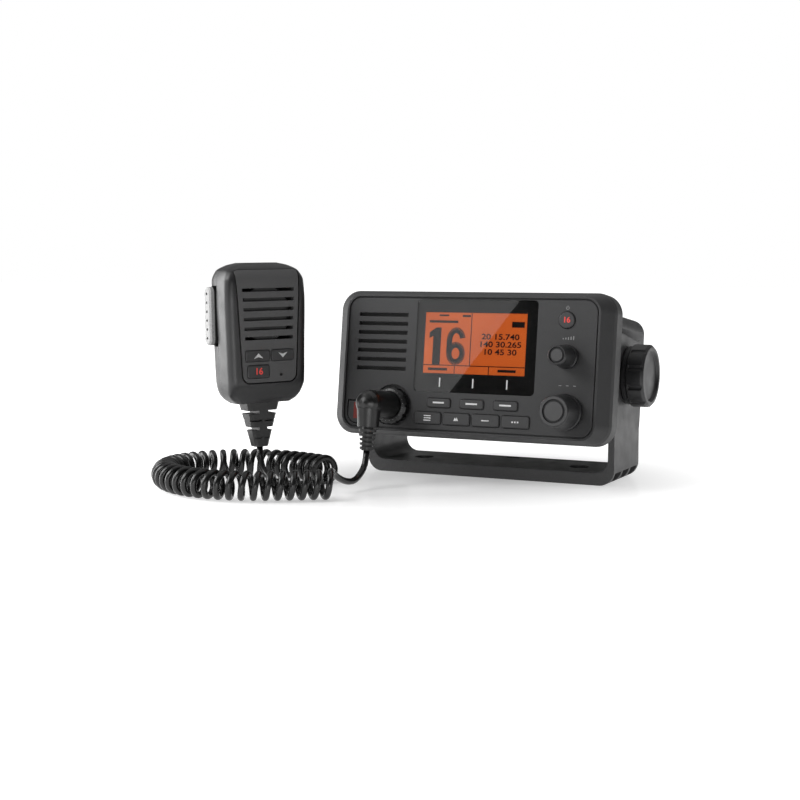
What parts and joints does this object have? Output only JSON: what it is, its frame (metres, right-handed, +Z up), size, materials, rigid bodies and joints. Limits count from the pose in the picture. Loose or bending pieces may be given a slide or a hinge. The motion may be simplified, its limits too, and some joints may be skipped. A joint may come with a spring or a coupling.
{
  "type": "marine radio",
  "caption": "Fixed two-way radio on a tilting U bracket, with display, dials and keys, and an upright hand microphone on a curly cord.",
  "frame": {"origin": "middle of the bracket's underside, on the table", "axes": "+Z up, -Y towards the front of the radio, +X to its right; the tilt axis runs along X"},
  "size_m": [0.2521, 0.2455, 0.1261],
  "materials": {
    "bracket_plastic": "satin",
    "case_plastic": "fine texture",
    "key_rubber": "satin",
    "glass": "gloss",
    "lcd": "lit",
    "white_plastic": "matte",
    "seal": "matte",
    "cord_rubber": "satin",
    "aluminium": "painted",
    "steel": "satin",
    "brass": "satin",
    "board": "satin",
    "lever_plastic": "satin",
    "red_plastic": "satin",
    "black_plastic": "satin"
  },
  "bodies": {
    "base": {"bracket": "bracket_plastic", "tilt_washers": "seal", "handset_front": "case_plastic", "handset_back": "case_plastic", "handset_panel": "case_plastic", "handset_board": "board", "handset_speaker": "steel", "handset_microphone": "steel", "handset_mat": "seal", "handset_hook": "black_plastic", "handset_screws": "steel", "handset_relief": "cord_rubber", "handset_lead": "cord_rubber", "curly_cord": "cord_rubber", "plug_lead": "cord_rubber"},
    "head": {"front_bezel": "case_plastic", "rear_housing": "aluminium", "case_seal": "seal", "housing_screws": "steel", "side_inserts": "brass", "display_glass": "glass", "lcd_panel": "lcd", "lcd_frame": "white_plastic", "keypad_mat": "seal", "volume_encoder": "steel", "select_encoder": "steel", "speaker": "steel", "slot_membrane": "seal", "front_board": "board", "main_board": "board", "shield_can": "steel", "handset_socket": "black_plastic", "antenna_socket": "steel", "power_inlet": "black_plastic", "data_socket": "black_plastic", "plug_body": "cord_rubber", "plug_relief": "cord_rubber"},
    "left_tilt_knob": {"left_knob": "black_plastic", "left_knob_stud": "steel"},
    "right_tilt_knob": {"right_knob": "black_plastic", "right_knob_stud": "steel"},
    "volume_slider": {"volume_shaft": "steel"},
    "volume_dial": {"volume_knob": "case_plastic"},
    "select_slider": {"select_shaft": "steel"},
    "select_dial": {"select_knob": "case_plastic"},
    "door": {"distress_door": "case_plastic"},
    "distress": {"distress_button": "red_plastic"},
    "ring": {"lock_ring": "black_plastic"},
    "power": {"power_key": "key_rubber"},
    "lever": {"talk_lever": "lever_plastic"},
    "up_key": {"handset_up_key": "key_rubber"},
    "down_key": {"handset_down_key": "key_rubber"},
    "channel_key": {"handset_channel_key": "key_rubber"},
    "soft_1": {"soft_key_1": "key_rubber"},
    "soft_2": {"soft_key_2": "key_rubber"},
    "soft_3": {"soft_key_3": "key_rubber"},
    "function_1": {"function_key_1": "key_rubber"},
    "function_2": {"function_key_2": "key_rubber"},
    "function_3": {"function_key_3": "key_rubber"},
    "function_4": {"function_key_4": "key_rubber"}
  },
  "joints": [
    {"name": "head_tilt", "type": "hinge", "parent": "base", "child": "head", "pos_m": [0, 0, 0.0615], "axis": [1, 0, 0], "range_deg": [-12, 8], "deforming": ["plug_lead"]},
    {"name": "left_knob_turn", "type": "hinge", "parent": "base", "child": "left_tilt_knob", "pos_m": [-0.078, 0, 0.0615], "axis": [-1, 0, 0], "continuous": true},
    {"name": "right_knob_turn", "type": "hinge", "parent": "base", "child": "right_tilt_knob", "pos_m": [0.078, 0, 0.0615], "axis": [1, 0, 0], "continuous": true},
    {"name": "volume_press", "type": "slide", "parent": "head", "child": "volume_slider", "axis": [0, 0.9917, -0.1288], "range_m": [0, 0.0006], "stiffness_N_per_m": 900},
    {"name": "volume_turn", "type": "hinge", "parent": "volume_slider", "child": "volume_dial", "pos_m": [0.06, -0.06189, 0.07569], "axis": [0, -0.9917, 0.1288], "continuous": true},
    {"name": "select_press", "type": "slide", "parent": "head", "child": "select_slider", "axis": [0, 0.9917, -0.1288], "range_m": [0, 0.0006], "stiffness_N_per_m": 900},
    {"name": "select_turn", "type": "hinge", "parent": "select_slider", "child": "select_dial", "pos_m": [0.0606, -0.06579, 0.04564], "axis": [0, -0.9917, 0.1288], "continuous": true},
    {"name": "door_open", "type": "hinge", "parent": "head", "child": "door", "pos_m": [-0.0662, -0.05464, 0.0445], "axis": [-1, 0, 0], "range_deg": [0, 95]},
    {"name": "distress_press", "type": "slide", "parent": "head", "child": "distress", "axis": [0, 0.9917, -0.1288], "range_m": [0, 0.0008], "stiffness_N_per_m": 400},
    {"name": "power_press", "type": "slide", "parent": "head", "child": "power", "axis": [0, 0.9917, -0.1288], "range_m": [0, 0.0008], "stiffness_N_per_m": 400},
    {"name": "soft_1_press", "type": "slide", "parent": "head", "child": "soft_1", "axis": [0, 0.9917, -0.1288], "range_m": [0, 0.0008], "stiffness_N_per_m": 400},
    {"name": "soft_2_press", "type": "slide", "parent": "head", "child": "soft_2", "axis": [0, 0.9917, -0.1288], "range_m": [0, 0.0008], "stiffness_N_per_m": 400},
    {"name": "soft_3_press", "type": "slide", "parent": "head", "child": "soft_3", "axis": [0, 0.9917, -0.1288], "range_m": [0, 0.0008], "stiffness_N_per_m": 400},
    {"name": "function_1_press", "type": "slide", "parent": "head", "child": "function_1", "axis": [0, 0.9917, -0.1288], "range_m": [0, 0.0008], "stiffness_N_per_m": 400},
    {"name": "function_2_press", "type": "slide", "parent": "head", "child": "function_2", "axis": [0, 0.9917, -0.1288], "range_m": [0, 0.0008], "stiffness_N_per_m": 400},
    {"name": "function_3_press", "type": "slide", "parent": "head", "child": "function_3", "axis": [0, 0.9917, -0.1288], "range_m": [0, 0.0008], "stiffness_N_per_m": 400},
    {"name": "function_4_press", "type": "slide", "parent": "head", "child": "function_4", "axis": [0, 0.9917, -0.1288], "range_m": [0, 0.0008], "stiffness_N_per_m": 400},
    {"name": "ring_turn", "type": "hinge", "parent": "head", "child": "ring", "pos_m": [-0.0455, -0.05893, 0.04414], "axis": [0, -0.9917, 0.1288], "range_deg": [0, 60]},
    {"name": "lever_press", "type": "slide", "parent": "base", "child": "lever", "axis": [0.5, 0.866, 0], "range_m": [0, 0.0012], "stiffness_N_per_m": 900},
    {"name": "up_press", "type": "slide", "parent": "base", "child": "up_key", "axis": [-0.866, 0.5, 0], "range_m": [0, 0.0006], "stiffness_N_per_m": 400},
    {"name": "down_press", "type": "slide", "parent": "base", "child": "down_key", "axis": [-0.866, 0.5, 0], "range_m": [0, 0.0006], "stiffness_N_per_m": 400},
    {"name": "channel_press", "type": "slide", "parent": "base", "child": "channel_key", "axis": [-0.866, 0.5, 0], "range_m": [0, 0.0006], "stiffness_N_per_m": 400}
  ]
}
